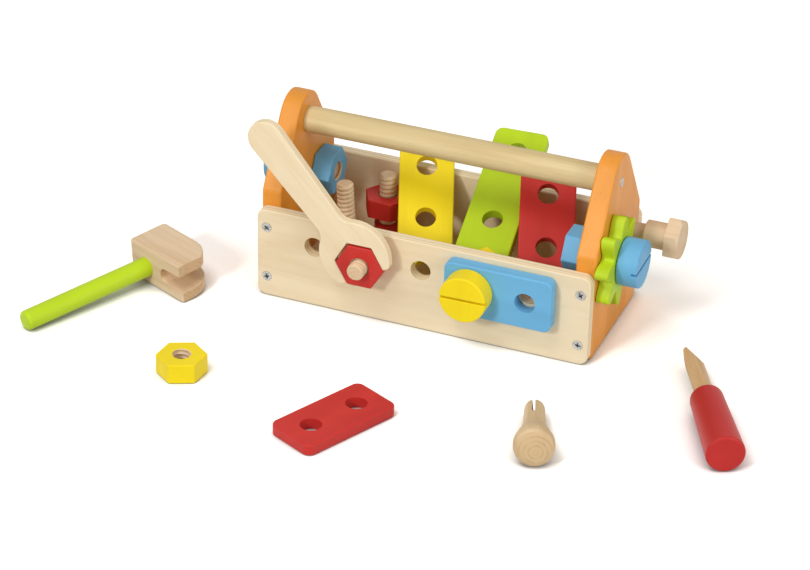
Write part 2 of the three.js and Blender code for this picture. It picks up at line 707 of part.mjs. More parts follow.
// The peg lies on the rim of its domed head and on its split tip; its own +Z runs to the tip.
function addPeg() {
  const head = pegHeadRadius;
  const shank = pegShankRadius;
  const length = pegLength;
  const body = turned([[0, 0], [head * 0.7, 0.5], [head * 0.93, 2.4], [head, 6], [head, 11],
    [head * 0.93, 16], [shank * 1.08, 41], [shank, length - 9], [shank * 0.9, length - 4.5],
    [shank * 0.55, length - 0.9], [0, length]], 20);
  const slot = new THREE.BoxGeometry(4 * shank, pegSlotWidth, 2 * pegSlotLength)
    .rotateZ(radians(pegSlotTurn)).translate(0, 0, length);
  const dip = Math.asin((head - shank) / (length - 18));
  const peg = addPart('peg', cut(body, slot), 'maple', [...pegPlace, 0]);
  peg.rotation.set(0, Math.PI / 2 + dip, radians(pegBearing), 'ZYX');
  layOnGround(peg);
}

addPeg();

export default workbench;
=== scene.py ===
"""Looks of the toy workbench: wooden box with peg holes, and its bolts, nuts, strips and tools.

Every piece is built here in fine mesh code around the CAD frame, which gives its place.
Lengths are written in millimetres and turned into metres by mm().
"""

import json
from math import acos, atan2, ceil, copysign, cos, dist, hypot, pi, radians, sin, tan

import bmesh
import bpy
import numpy as np
from mathutils import Matrix, Vector


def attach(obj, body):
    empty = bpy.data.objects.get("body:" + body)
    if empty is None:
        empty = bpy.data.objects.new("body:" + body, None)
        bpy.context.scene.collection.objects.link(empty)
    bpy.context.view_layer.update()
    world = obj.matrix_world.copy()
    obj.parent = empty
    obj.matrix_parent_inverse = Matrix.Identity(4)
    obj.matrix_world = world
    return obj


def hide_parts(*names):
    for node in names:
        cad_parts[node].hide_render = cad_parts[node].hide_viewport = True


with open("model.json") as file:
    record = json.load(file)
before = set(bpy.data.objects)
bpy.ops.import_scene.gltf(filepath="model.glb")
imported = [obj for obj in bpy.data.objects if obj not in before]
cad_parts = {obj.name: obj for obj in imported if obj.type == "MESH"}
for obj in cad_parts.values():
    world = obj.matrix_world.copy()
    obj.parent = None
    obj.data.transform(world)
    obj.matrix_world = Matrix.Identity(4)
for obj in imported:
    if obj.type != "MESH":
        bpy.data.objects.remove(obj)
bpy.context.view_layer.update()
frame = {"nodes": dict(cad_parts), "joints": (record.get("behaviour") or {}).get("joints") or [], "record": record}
nodes = frame["nodes"]
record = frame["record"]
body_of_node = {
    node: body for body, members in record["behaviour"]["bodies"].items() for node in members
}

# ------------ sizes, in millimetres
ROUND_STEPS = 96  # facets of a round piece
SCREW_STEPS = 48  # facets of a steel screw and its hole
EASE_STEPS = 4  # facets of a rounded edge
GAP = 0.3  # between a bolt, nut or screw and what it goes into
OVERLAP = 0.2  # how far a shank goes into the piece above it

HOLE_PITCH = 50
HOLE_RADIUS = 9.25
HOLE_EASE = 0.4

PANEL_HOLES = 5
PANEL_HOLE_HEIGHT = 58.3
PANEL_CORNER = 8
PANEL_EASE = 1.3

SHOULDER_HEIGHT = 98.8
SHOULDER_CORNER = 10
FOOT_CORNER = 3
END_TOP_RADIUS = 25.5
END_HOLE_HEIGHT = 85.2
HANDLE_HEIGHT = 144.4
END_PLATE_EASE = 1.8

SCREW_HEIGHTS = (18.8, 68)  # of the panels' steel screws above the ground
SCREW_INSET = 9  # of the same screws from the panels' ends
SCREW_HEAD_RADIUS = 4.5
SCREW_SHANK_RADIUS = 2
SCREW_LENGTH = 30
SCREW_POINT = 4
SCREW_PROUD = 0.2  # how far a head's face bulges out of its board

SHANK_RADIUS = 7.75
SHANK_CHAMFER = 1.3
THREAD_PITCH = 4.2
THREAD_DEPTH = 1.1
THREAD_LENGTH = 34
THREAD_FADE = 3  # the length over which a thread runs out
THREAD_STEPS = 14  # rings in one turn of a thread
THREAD_FACETS = 64
BORE_RADIUS = SHANK_RADIUS + GAP
LOOSE_BORE_RADIUS = 7.3  # the crests of the thread in a nut with no bolt in it
BORE_CHAMFER = 0.7
COLLAR_RADIUS = 11.95
COLLAR_LENGTH = 20
RED_COLLAR_LENGTH = 15.3
COLLAR_OVERLAP = 0.5
HEX_HEAD_RADIUS = 19.6
HEX_HEAD_THICKNESS = 13
HEX_HEAD_CORNER = 1.6
HEX_HEAD_CHAMFER = 0.6  # at the middle of a flat, growing towards the corners
SLOTTED_HEAD_RADIUS = 21.2
SLOTTED_HEAD_THICKNESS = 19
SLOTTED_HEAD_EASE = 1.4
SLOT_WIDTH = 2.4
SLOT_DEPTH = 5
SLOT_TOOL_LENGTH = 60  # longer than any head is wide
NUT_RADIUS = 22.2
NUT_CORNER = 2
PAINTED_EASE = 1.1  # of the nuts, the gear and the spanner

STRIP_CORNER = 7
STRIP_EASE = 1.5
GREEN_HOLE_SETBACKS = (24, 100)  # from its upper end

GEAR_TEETH = 8
GEAR_TOOTH_STEPS = 40
GEAR_TIP_RADIUS = 41
GEAR_VALLEY_RADIUS = 26.5

SPANNER_HEAD_RADIUS = 33
SPANNER_REACH = 126  # from the middle of its head to the middle of its rounded end
SPANNER_END_RADIUS = 17.5
SPANNER_NECK = 13
SPANNER_NECK_CORNER = 12
SPANNER_JAW_OFFSET = 10.4  # from the middle of the nut to the middle of the head
SPANNER_MOUTH = 9.99
SPANNER_MOUTH_CORNERS = (3.5, 1.5)  # outside and inside
SPANNER_SLACK = 1.4  # the jaw's root is this much deeper than the nut's corner
SPANNER_LEAN = 131  # degrees, of the handle from the box's length
SPANNER_SKEW = -11  # degrees, of the jaw from the handle
SPANNER_NECK_TURN = 35  # degrees round the head, from the handle to where the neck meets it
SPANNER_TIP_TURN = 120  # degrees round the head, from the jaw's root to its tips

HAMMER_GRIP_RADIUS = 9
HAMMER_BUTT_EASE = 3
HAMMER_CORNERS = (3, 2, 4)  # grip's side at the face and at the claw, far side at the face
HAMMER_EASE = 1.6
CLAW_CORNER = 28
CLAW_MOUTH = 16
CLAW_FLOOR = 9.5
CLAW_TAPER = 0.8
CLAW_END = 42
CLAW_LIP_STEP = 3
CLAW_OVERSHOOT = 20  # how far the tools that cut the claw reach past the head

GRIP_BUTT_RADIUS = 16.6
GRIP_BUTT_EASE = 2.5
GRIP_NECK_RADIUS = 14.4
GRIP_NECK_EASE = 4.4
BLADE_RADIUS = 8
BLADE_TIP = 3
BLADE_WEDGE = 26

PEG_HEAD_RADIUS = 17.3
PEG_SHANK_RADIUS = 8.9
PEG_SLOT_WIDTH = 2.7
PEG_SLOT_LENGTH = 29


def mm(value):
    return value / 1000


def raised(height):
    return Matrix.Translation((0, 0, mm(height)))


# ------------ places, from the frame
OUTWARD = {"front": (0, -1, 0), "back": (0, 1, 0), "left": (-1, 0, 0), "right": (1, 0, 0)}
VIEWER = (0.3, -0.5, 0.8)
ONE_DIRECTION = 0.9995  # two directions with a larger cosine than this are one
SQUARE = 0.02  # two directions with a smaller cosine than this are square to each other


def points_of(node):
    return np.array([vertex.co for vertex in nodes[node].data.vertices])


def middle_of(node):
    return points_of(node).mean(axis=0)


def joint_place(child):
    return next(joint["pos_m"] for joint in frame["joints"] if joint["child"] == child)


def unit(vector):
    vector = np.array(vector, dtype=float)
    return vector / np.linalg.norm(vector)


def pointing(axis, toward):
    """The axis or its opposite, whichever leads the way given."""
    return axis if axis @ np.array(toward) > 0 else -axis


def face_normals(node):
    """The directions that a CAD node's faces look in, the one with the largest area first."""
    found = []
    for polygon in nodes[node].data.polygons:
        normal = np.array(polygon.normal)
        for entry in found:
            if entry[0] @ normal > ONE_DIRECTION:
                entry[1] += polygon.area
                break
        else:
            found.append([normal, polygon.area])
    found.sort(key=lambda entry: -entry[1])
    return [entry[0] for entry in found]


def face_beside(node, axis):
    """The direction of the largest face that looks square to an axis."""
    return next(normal for normal in face_normals(node) if abs(normal @ axis) < SQUARE)


def long_axis(node):
    """The axis of a long piece. Which of its two ways it points is left open."""
    points = points_of(node) - middle_of(node)
    return np.linalg.eigh(points.T @ points)[1][:, 2]


def headward_axis(node):
    """The axis of a turned piece, pointing to the end with its head."""
    axis = long_axis(node)
    points = points_of(node) - middle_of(node)
    along = points @ axis
    spread = np.linalg.norm(points - np.outer(along, axis), axis=1)
    head = along[spread > 0.8 * spread.max()].mean()
    return axis if head > (along.min() + along.max()) / 2 else -axis


def frame_of(node, z, x):
    """A piece's own frame: the axes given, centred on the node's extent along each of them.

    Returns the frame and the three extents in millimetres.
    """
    z = unit(z)
    x = unit(x - z * (z @ x))
    axes = np.array([x, np.cross(z, x), z])
    along = points_of(node) @ axes.T
    low, high = along.min(axis=0), along.max(axis=0)
    matrix = Matrix(axes.T.tolist()).to_4x4()
    matrix.translation = Vector(((low + high) / 2) @ axes)
    return matrix, (high - low) * 1000


def flat_frame(node):
    """A flat piece: z through its thickness and towards the viewer, x along it."""
    z = pointing(face_normals(node)[0], VIEWER)
    return frame_of(node, z, np.cross(face_beside(node, z), z))


def threaded_frame(node):
    """A bolt or screw: z out of its head, x square to a flat of the head or to its slot.

    The frame lies at the top of the head. Returns it and the whole length.
    """
    z = headward_axis(node)
    matrix, (_, _, length) = frame_of(node, z, face_beside(node, z))
    return matrix @ raised(length / 2), length


# ------------ outlines, in millimetres
def on_circle(x, y, radius, turns):
    return [(x + radius * cos(turn), y + radius * sin(turn)) for turn in turns]


def arc(x, y, radius, start, end):
    count = max(1, round(abs(end - start) / (2 * pi / ROUND_STEPS)))
    return on_circle(x, y, radius, (start + (end - start) * i / count for i in range(count + 1)))


def circle(x, y, radius, count=ROUND_STEPS):
    return on_circle(x, y, radius, (2 * pi * i / count for i in range(count)))


def rounded(corners):
    """A closed outline whose corners (x, y, radius), given counterclockwise, are each rounded."""
    outline = []
    for i, (x, y, radius) in enumerate(corners):
        corner = Vector((x, y))
        back = (Vector(corners[i - 1][:2]) - corner).normalized()
        ahead = (Vector(corners[(i + 1) % len(corners)][:2]) - corner).normalized()
        half = acos(max(-1, min(1, back.dot(ahead)))) / 2
        centre = corner + (back + ahead).normalized() * (radius / sin(half))
        side = -copysign(1, back.x * ahead.y - back.y * ahead.x)
        start = atan2(-back.y, -back.x) - side * pi / 2
        outline += arc(centre.x, centre.y, radius, start, start + side * (pi - 2 * half))
    return [point for i, point in enumerate(outline) if dist(point, outline[i - 1]) > 0.01]


def rectangle(length, width, radius):
    x, y = length / 2, width / 2
    return rounded([(-x, -y, radius), (x, -y, radius), (x, y, radius), (-x, y, radius)])


def hexagon(radius, rounding):
    """A hexagon with a flat square to x."""
    turns = [pi / 6 + i * pi / 3 for i in range(6)]
    return rounded([(x, y, rounding) for x, y in on_circle(0, 0, radius, turns)])


def moved_in(outline, distance):
    """The outline with each side moved towards its inside, for a counterclockwise outline."""
    points = [Vector(point) for point in outline]
    result = []
    for i, point in enumerate(points):
        before = (point - points[i - 1]).normalized()
        after = (points[(i + 1) % len(points)] - point).normalized()
        inward = Vector((-before.y - after.y, before.x + after.x))
        reach = distance / max(0.3, inward.length / 2)
        result.append(tuple(point + inward.normalized() * reach))
    return result


def at_height(outline, height):
    return [(x, y, height) for x, y in outline]


# ------------ walls
# A wall is a list of rings of equal length, from the bottom of a solid to its top.
EASE_TURNS = [pi / 2 * i / EASE_STEPS for i in range(EASE_STEPS + 1)]


def eased_wall(outline, thickness, ease, hole=False):
    sign = -1 if hole else 1
    low = [(ease * (1 - sin(turn)), ease * (1 - cos(turn))) for turn in EASE_TURNS]
    levels = low + [(inset, thickness - height) for inset, height in reversed(low)]
    return [at_height(moved_in(outline, sign * inset), height) for inset, height in levels]


def countersunk_wall(x, y, thickness):
    """A steel screw's hole through a board whose outer face is at the top."""
    head, shank = SCREW_HEAD_RADIUS + GAP, SCREW_SHANK_RADIUS + GAP
    profile = [(shank, 0), (shank, thickness - head + shank), (head, thickness)]
    return [at_height(circle(x, y, radius, SCREW_STEPS), height) for radius, height in profile]


def thread_groove(turn, height):
    """How deep a thread is cut at a turn, 0 to 1, of the way round and a height."""
    crest_rounding, groove, groove_half_width, flank_power = 0.12, 0.76, 0.24, 0.8
    away = abs((height / THREAD_PITCH - turn) % 1 - 0.5)
    crest = crest_rounding * (1 - cos(pi * (1 - 2 * away)))
    cut = max(0, 1 - away / groove_half_width) ** flank_power
    return THREAD_DEPTH * (crest + groove * cut)


def threaded_wall(base, length, reach_at):
    """A wall from z = base up, whose radius is reach_at(turn, height above the base)."""
    levels = ceil(length / THREAD_PITCH * THREAD_STEPS)
    rings = []
    for level in range(levels + 1):
        height = length * level / levels
        ring = []
        for i in range(THREAD_FACETS):
            reach = reach_at(i / THREAD_FACETS, height)
            ring += on_circle(0, 0, reach, [2 * pi * i / THREAD_FACETS])
        rings.append(at_height(ring, base + height))
    return rings


def bore_wall(radius, thickness):
    """A threaded hole, chamfered at both rims. The radius is that of the thread's crests."""
    def reach_at(turn, height):
        chamfer = max(0, BORE_CHAMFER - height, BORE_CHAMFER - (thickness - height))
        return max(radius + THREAD_DEPTH - thread_groove(turn, height), radius + chamfer)

    return threaded_wall(0, thickness, reach_at)


def shank_wall(length):
    """A shank from z = -length up to 0, whose thread starts at its low end."""
    def reach_at(turn, rise):
        fade = max(0, min(1, (THREAD_LENGTH - rise) / THREAD_FADE))
        return SHANK_RADIUS - max(fade * thread_groove(turn, rise), SHANK_CHAMFER - rise)

    return threaded_wall(-length, length, reach_at)


# ------------ solids
def new_ring(bm, points):
    return [bm.verts.new([mm(value) for value in point]) for point in points]


def edges_of(bm, ring):
    return [bm.edges.get((ring[i - 1], ring[i])) for i in range(len(ring))]


def join_rings(bm, lower, upper, hole=False, material=0):
    for i in range(len(lower)):
        corners = (lower[i - 1], lower[i], upper[i], upper[i - 1])
        face = bm.faces.new(corners[::-1] if hole else corners)
        face.material_index = material


def finished_mesh(name, bm):
    """The mesh, with every face turned outwards."""
    bmesh.ops.recalc_face_normals(bm, faces=bm.faces)
    mesh = bpy.data.meshes.new(name)
    bm.to_mesh(mesh)
    bm.free()
    return mesh


def closed_solid(name, walls, hole_material=0):
    """A mesh from its outer wall and the walls of its holes, closed by a flat face at each end."""
    bm = bmesh.new()
    ends = ([], [])
    for number, wall in enumerate(walls):
        hole = number > 0
        rings = [new_ring(bm, ring) for ring in wall]
        for lower, upper in zip(rings, rings[1:]):
            join_rings(bm, lower, upper, hole, hole_material if hole else 0)
        for end, ring in zip(ends, (rings[0], rings[-1])):
            end += edges_of(bm, ring)
    for end in ends:
        bmesh.ops.triangle_fill(bm, edges=end, use_beauty=True)
    return finished_mesh(name, bm)


def prism(name, outline, thickness, ease, holes=(), bores=()):
    """A board with eased edges and crisper holes. holes are outlines, bores are ready walls."""
    walls = [eased_wall(outline, thickness, ease)]
    walls += [eased_wall(hole, thickness, HOLE_EASE, hole=True) for hole in holes]
    return closed_solid(name, walls + list(bores))


def turned(name, profile, count=ROUND_STEPS):
    """A solid of revolution about z from (radius, height) points, lowest first.

    A flat end is one face, a domed one comes to a point.
    """
    bm = bmesh.new()
    flat_low = profile[0][1] == profile[1][1]
    flat_high = profile[-1][1] == profile[-2][1]
    rings = []
    for radius, height in profile[flat_low:len(profile) - flat_high]:
        outline = circle(0, 0, radius, count) if radius else [(0, 0)]
        rings.append(new_ring(bm, at_height(outline, height)))
    for flat, ring in ((flat_low, rings[0]), (flat_high, rings[-1])):
        if flat:
            bm.faces.new(ring)
    for lower, upper in zip(rings, rings[1:]):
        for i in range(count):
            low = lower if len(lower) == 1 else [lower[i - 1], lower[i]]
            high = upper if len(upper) == 1 else [upper[i], upper[i - 1]]
            bm.faces.new(low + high)
    return finished_mesh(name, bm)


def low_rim(radius, height, ease):
    """Profile points of the rounded lower rim of a turned piece, lowest first."""
    return [(radius - ease * (1 - sin(turn)), height + ease * (1 - cos(turn)))
            for turn in EASE_TURNS]


def high_rim(radius, height, ease):
    """The same for the upper rim, also lowest first."""
    return [(radius - ease * (1 - cos(turn)), height - ease * (1 - sin(turn)))
            for turn in EASE_TURNS]


def rod_profile(radius, low, high, low_ease, high_ease):
    return [(0, low), *low_rim(radius, low, low_ease), *high_rim(radius, high, high_ease),
            (0, high)]


def softened(profile, rounds=3):
    """The profile with its corners cut again and again, so that it becomes a smooth curve."""
    for _ in range(rounds):
        inner = []
        for (r0, h0), (r1, h1) in zip(profile, profile[1:]):
            inner += [(0.75 * r0 + 0.25 * r1, 0.75 * h0 + 0.25 * h1),
                      (0.25 * r0 + 0.75 * r1, 0.25 * h0 + 0.75 * h1)]
        profile = [profile[0], *inner[1:-1], profile[-1]]
    return profile


def box(name, size, centre):
    bm = bmesh.new()
    bmesh.ops.create_cube(bm, size=1)
    for vertex in bm.verts:
        vertex.co = Vector([mm(vertex.co[i] * size[i] + centre[i]) for i in range(3)])
    return finished_mesh(name, bm)


def new_object(name, data):
    made = bpy.data.objects.new(name, data)
    bpy.context.scene.collection.objects.link(made)
    return made


def carved(mesh, tools, ease, operation="DIFFERENCE"):
    """The mesh cut by, or kept only within, each tool. Its sharp edges are then eased."""
    subject, *helpers = [new_object("helper", shape) for shape in (mesh, *tools)]
    for helper in helpers:
        modifier = subject.modifiers.new("carve", "BOOLEAN")
        modifier.operation = operation
        modifier.object = helper
        modifier.solver = "EXACT"
    bevel = subject.modifiers.new("ease", "BEVEL")
    bevel.width = mm(ease)
    bevel.segments = 3
    bevel.limit_method = "ANGLE"
    bevel.angle_limit = radians(38)
    changed = subject.evaluated_get(bpy.context.evaluated_depsgraph_get())
    result = bpy.data.meshes.new_from_object(changed)
    result.name = mesh.name
    result.materials.clear()
    for helper in (subject, *helpers):
        bpy.data.objects.remove(helper)
    bm = bmesh.new()
    bm.from_mesh(result)
    too_short = mm(0.01)
    bmesh.ops.remove_doubles(bm, verts=bm.verts, dist=too_short)
    bmesh.ops.dissolve_degenerate(bm, edges=bm.edges, dist=too_short)
    bm.to_mesh(result)
    bm.free()
    return result


def add_piece(name, mesh, node, materials, matrix, stands_for_node=True):
    """A piece at its place on its node's body. It stands for the node unless told otherwise."""
    for material in materials:
        mesh.materials.append(material)
    mesh.polygons.foreach_set("use_smooth", [True] * len(mesh.polygons))
    mesh.set_sharp_from_angle(angle=radians(40))
    piece = new_object(name, mesh)
    piece.matrix_world = matrix
    shading = piece.modifiers.new("flat faces stay flat", "WEIGHTED_NORMAL")
    shading.weight = 100
    shading.keep_sharp = True
    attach(piece, body_of_node[node])
    if stands_for_node:
        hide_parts(node)


def add_board(name, node, matrix, outline, thickness, ease, material, holes=(), bores=()):
    """A prism, whose frame is given in the middle of its thickness."""
    mesh = prism(node, outline, thickness, ease, holes, bores)
    add_piece(name, mesh, node, [material], matrix @ raised(-thickness / 2))


# ------------ materials
# Colours are given as they look on a screen, 0 to 255: a light shade and a dark one for bare
# wood, one shade for paint. A share of more than 1 goes on past the dark shade.
BIRCH = ((239, 222, 189), (226, 203, 162))
MAPLE = ((228, 204, 172), (206, 174, 134))
BEECH = ((221, 202, 154), (198, 173, 122))
DARK_BEECH = ((220, 194, 154), (190, 158, 114))
DOWEL_WOOD = ((214, 178, 132), (186, 144, 96))
STEEL = ((184, 184, 182), (144, 144, 144))
ORANGE = (234, 152, 48)
YELLOW = (248, 222, 22)
GREEN = (186, 215, 32)
RED = (200, 48, 42)
DEEP_RED = (188, 42, 38)
BLUE = (110, 180, 224)
WHITE = (255, 255, 255)

PLIES = 5
RING_SCALE = 0.08
RING_STRETCH = 60  # growth rings change as much in a metre along the grain as in 60 mm across


def linear(colour):
    channels = [channel / 255 for channel in colour]
    return (*[c / 12.92 if c <= 0.04045 else ((c + 0.055) / 1.055) ** 2.4 for c in channels], 1)


def shade(light, dark, share):
    return linear([first + (second - first) * share for first, second in zip(light, dark)])


def add_node(tree, kind, inputs=None, **settings):
    new = tree.nodes.new(kind)
    for key, value in settings.items():
        setattr(new, key, value)
    for key, value in (inputs or {}).items():
        if isinstance(value, bpy.types.NodeSocket):
            tree.links.new(value, new.inputs[key])
        else:
            new.inputs[key].default_value = value
    return new


def calculated(tree, operation, first, second=0.0):
    inputs = {0: first, 1: second}
    return add_node(tree, "ShaderNodeMath", inputs, operation=operation).outputs[0]


def added(tree, first, second, share=1.0):
    """The first value and a share of the second one."""
    if share != 1:
        second = calculated(tree, "MULTIPLY", second, share)
    return calculated(tree, "ADD", first, second)


def remapped(tree, value, low, high, to_low=0.0, to_high=1.0):
    inputs = {"Value": value, "From Min": low, "From Max": high,
              "To Min": to_low, "To Max": to_high}
    ramp = add_node(tree, "ShaderNodeMapRange", inputs, interpolation_type="SMOOTHSTEP")
    return ramp.outputs[0]


def mixed(tree, factor, first, second):
    factor_socket, first_socket, second_socket, colour_out = 0, 6, 7, 2
    inputs = {factor_socket: factor, first_socket: first, second_socket: second}
    return add_node(tree, "ShaderNodeMix", inputs, data_type="RGBA").outputs[colour_out]


class Surface:
    """A new material, and the coordinates that its pattern is laid out in."""

    def __init__(self, name, grain, seed, lean=0.0):
        self.material = bpy.data.materials.new(name)
        self.material.use_nodes = True
        self.tree = self.material.node_tree
        self.shader = self.tree.nodes["Principled BSDF"]
        self.seed = seed
        self.grain = "xyz".index(grain)
        coordinates = add_node(self.tree, "ShaderNodeTexCoord")
        self.normal = coordinates.outputs["Normal"]
        self.place = self.mapped(coordinates.outputs["Object"], {"Rotation": (0, 0, -lean)})

    def mapped(self, vector, settings):
        inputs = {"Vector": vector, **settings}
        return add_node(self.tree, "ShaderNodeMapping", inputs).outputs[0]

    def scaled(self, along, across):
        scale = [across] * 3
        scale[self.grain] = along
        return scale

    def noise(self, along, across, detail=3.0, roughness=0.5, distortion=0.0):
        """Noise with so many cycles in a metre along the grain and across it."""
        offset = (self.seed * 3.1, self.seed * 7.7, self.seed * 5.3)
        scale = self.scaled(along, across)
        place = self.mapped(self.place, {"Location": offset, "Scale": scale})
        inputs = {"Vector": place, "Scale": 1.0, "Detail": detail,
                  "Roughness": roughness, "Distortion": distortion}
        return add_node(self.tree, "ShaderNodeTexNoise", inputs).outputs[0]

    def growth_rings(self, pith):
        """Rings round the tree's pith, whose place is given in millimetres."""
        scale = self.scaled(RING_STRETCH, 1000.0)
        place = self.mapped(self.place, {"Location": pith, "Scale": scale})
        inputs = {"Vector": place, "Scale": RING_SCALE, "Distortion": 2.6,
                  "Detail": 2.0, "Detail Scale": 0.35}
        rings = add_node(self.tree, "ShaderNodeTexWave", inputs, wave_type="RINGS",
                         rings_direction="XYZ"[self.grain])
        return calculated(self.tree, "POWER", rings.outputs["Fac"], 2.5)

    def facing(self, axis):
        """How squarely the surface faces along one axis of the piece, 0 to 1."""
        parts = add_node(self.tree, "ShaderNodeSeparateXYZ", {0: self.normal})
        return calculated(self.tree, "ABSOLUTE", parts.outputs[axis])

    def coordinate(self, axis):
        return add_node(self.tree, "ShaderNodeSeparateXYZ", {0: self.place}).outputs[axis]

    def convex_edges(self):
        pointiness = add_node(self.tree, "ShaderNodeNewGeometry").outputs["Pointiness"]
        return remapped(self.tree, pointiness, 0.53, 0.62)

    def finish(self, colour, roughness, relief, depth, specular):
        """The material, with its relief so many millimetres deep."""
        shader = self.shader.inputs
        shader["Specular IOR Level"].default_value = specular
        self.tree.links.new(colour, shader["Base Color"])
        self.tree.links.new(roughness, shader["Roughness"])
        inputs = {"Height": relief, "Distance": mm(depth), "Strength": 1.0}
        bumps = add_node(self.tree, "ShaderNodeBump", inputs)
        self.tree.links.new(bumps.outputs[0], shader["Normal"])
        return self.material


def natural_wood(name, shades, seed, grain="z", pith=(14, 9, 11), end_tone=0.5):
    """Bare sanded wood: soft figure, fine fibres, and growth rings on the end grain.

    The end grain lies end_tone of the way from the light shade to the dark one.
    """
    surface = Surface(name, grain, seed)
    tree = surface.tree
    light, dark = shades
    broad = surface.noise(5, 50, detail=3, distortion=0.8)
    streaks = surface.noise(10, 240, detail=4, roughness=0.6, distortion=0.4)
    fibres = surface.noise(80, 1600, detail=2, roughness=0.6)
    tone = added(tree, remapped(tree, broad, 0.3, 0.75, to_high=0.6),
                 remapped(tree, streaks, 0.35, 0.8, to_high=0.4))
    tone = added(tree, tone, remapped(tree, fibres, 0.4, 0.8, to_high=0.2))
    colour = mixed(tree, tone, linear(light), linear(dark))
    clear = remapped(tree, surface.noise(40, 110, detail=2), 0.35, 0.62, to_low=0.2)
    rings = calculated(tree, "MULTIPLY", surface.growth_rings(pith), clear)
    ends = mixed(tree, rings, shade(light, dark, end_tone), shade(light, dark, end_tone + 0.65))
    end_mask = remapped(tree, surface.facing(surface.grain), 0.75, 0.95, to_high=0.75)
    colour = mixed(tree, end_mask, colour, ends)
    relief = added(tree, fibres, streaks, share=0.8)
    roughness = remapped(tree, broad, 0.3, 0.7, 0.52, 0.64)
    return surface.finish(colour, roughness, relief, depth=0.08, specular=0.35)


def plywood(name, thickness, seed, lean=0.0):
    """A light face veneer with faint figure, and its plies in soft stripes along every edge.

    The grain runs along x, turned by lean about z.
    """
    surface = Surface(name, "x", seed, lean)
    tree = surface.tree
    light, dark = BIRCH
    broad = surface.noise(4, 26, detail=3, roughness=0.55, distortion=1.4)
    streaks = surface.noise(9, 150, detail=4, roughness=0.6, distortion=0.3)
    fibres = surface.noise(90, 1700, detail=2, roughness=0.6)
    tone = added(tree, remapped(tree, broad, 0.35, 0.75, to_high=0.6),
                 remapped(tree, streaks, 0.45, 0.8, to_high=0.35))
    face = mixed(tree, tone, linear(light), linear(dark))
    flecks = remapped(tree, surface.noise(60, 900, detail=1), 0.62, 0.78, to_high=0.3)
    face = mixed(tree, flecks, face, shade(light, dark, 1.7))
    height = calculated(tree, "MULTIPLY", surface.coordinate(2), PLIES / mm(thickness))
    band = calculated(tree, "PINGPONG", calculated(tree, "ADD", height, 0.5), 1.0)
    cross_ply = remapped(tree, band, 0.4, 0.6)
    pores = remapped(tree, surface.noise(500, 900, detail=2, roughness=0.6), 0.35, 0.7)
    cross_colour = mixed(tree, pores, shade(light, dark, 1.3), shade(light, dark, 0.6))
    edge = mixed(tree, cross_ply, shade(light, dark, -0.15), cross_colour)
    edge_mask = remapped(tree, surface.facing(2), 0.25, 0.7, to_low=0.9, to_high=0)
    colour = mixed(tree, edge_mask, face, edge)
    relief = added(tree, fibres, streaks, share=0.9)
    roughness = remapped(tree, broad, 0.3, 0.7, 0.46, 0.58)
    return surface.finish(colour, roughness, relief, depth=0.05, specular=0.4)


def painted_wood(name, colour, seed, grain="x", grain_shows=0.1, gloss=0.46, specular=0.25):
    """Paint over wood: faint grain; edges lighter as worn paint and as a painted highlight."""
    surface = Surface(name, grain, seed)
    tree = surface.tree
    wear_and_highlight_share = 0.3
    broad = surface.noise(6, 24, detail=2, distortion=0.6)
    streaks = surface.noise(18, 380, detail=4, roughness=0.65, distortion=0.2)
    specks = surface.noise(500, 1300, detail=2, roughness=0.6)
    deep = linear([channel * (0.95 - 0.3 * grain_shows) for channel in colour])
    paint = mixed(tree, remapped(tree, broad, 0.35, 0.7, to_high=0.7), linear(colour), deep)
    lines = remapped(tree, streaks, 0.5, 0.78, to_high=min(1, 3 * grain_shows))
    paint = mixed(tree, lines, paint, deep)
    patchy = remapped(tree, specks, 0.3, 0.7, to_low=0.3)
    # Convex edges go towards white: part worn paint, part a painted highlight.
    worn_and_highlit_edges = calculated(tree, "MULTIPLY", surface.convex_edges(), patchy)
    worn_and_highlit_edges = calculated(tree, "MULTIPLY", worn_and_highlit_edges, wear_and_highlight_share)
    paint = mixed(tree, worn_and_highlit_edges, paint, shade(colour, WHITE, 0.1))
    relief = added(tree, calculated(tree, "MULTIPLY", streaks, 0.8), specks, share=0.35)
    roughness = remapped(tree, broad, 0.3, 0.7, gloss - 0.04, gloss + 0.06)
    return surface.finish(paint, roughness, relief, depth=0.035, specular=specular)


def zinc():
    """Bright zinc-plated steel, brushed round and round."""
    surface = Surface("screw_zinc", "z", seed=0.0)
    tree = surface.tree
    light, dark = STEEL
    brushed = surface.noise(300, 2600, detail=3, roughness=0.6)
    cloudy = surface.noise(300, 500, detail=2)
    colour = mixed(tree, remapped(tree, cloudy, 0.35, 0.7), linear(light), linear(dark))
    surface.shader.inputs["Metallic"].default_value = 1.0
    roughness = remapped(tree, brushed, 0.3, 0.7, 0.26, 0.44)
    return surface.finish(colour, roughness, brushed, depth=0.02, specular=0.5)


def maple(name, seed, **settings):
    return natural_wood(f"{name}_maple", MAPLE, seed, **settings)


def paint_of(node, colour, seed):
    return painted_wood(f"{node}_paint", colour, seed)


# ------------ carcass
def add_panels():
    for number, (side, hole_count) in enumerate((("front", PANEL_HOLES), ("back", 0))):
        node = f"{side}_panel"
        outward = OUTWARD[side]
        matrix, (length, height, thickness) = frame_of(node, outward, (-outward[1], 0, 0))
        holes = [circle((i - (hole_count - 1) / 2) * HOLE_PITCH, PANEL_HOLE_HEIGHT - height / 2,
                        HOLE_RADIUS) for i in range(hole_count)]
        screws = [countersunk_wall(sign * (length / 2 - SCREW_INSET), level - height / 2, thickness)
                  for sign in (-1, 1) for level in SCREW_HEIGHTS]
        ply = plywood(f"{side}_plywood", thickness, seed=0.7 + number)
        add_board(f"{side}_board", node, matrix, rectangle(length, height, PANEL_CORNER),
                  thickness, PANEL_EASE, ply, holes, screws)


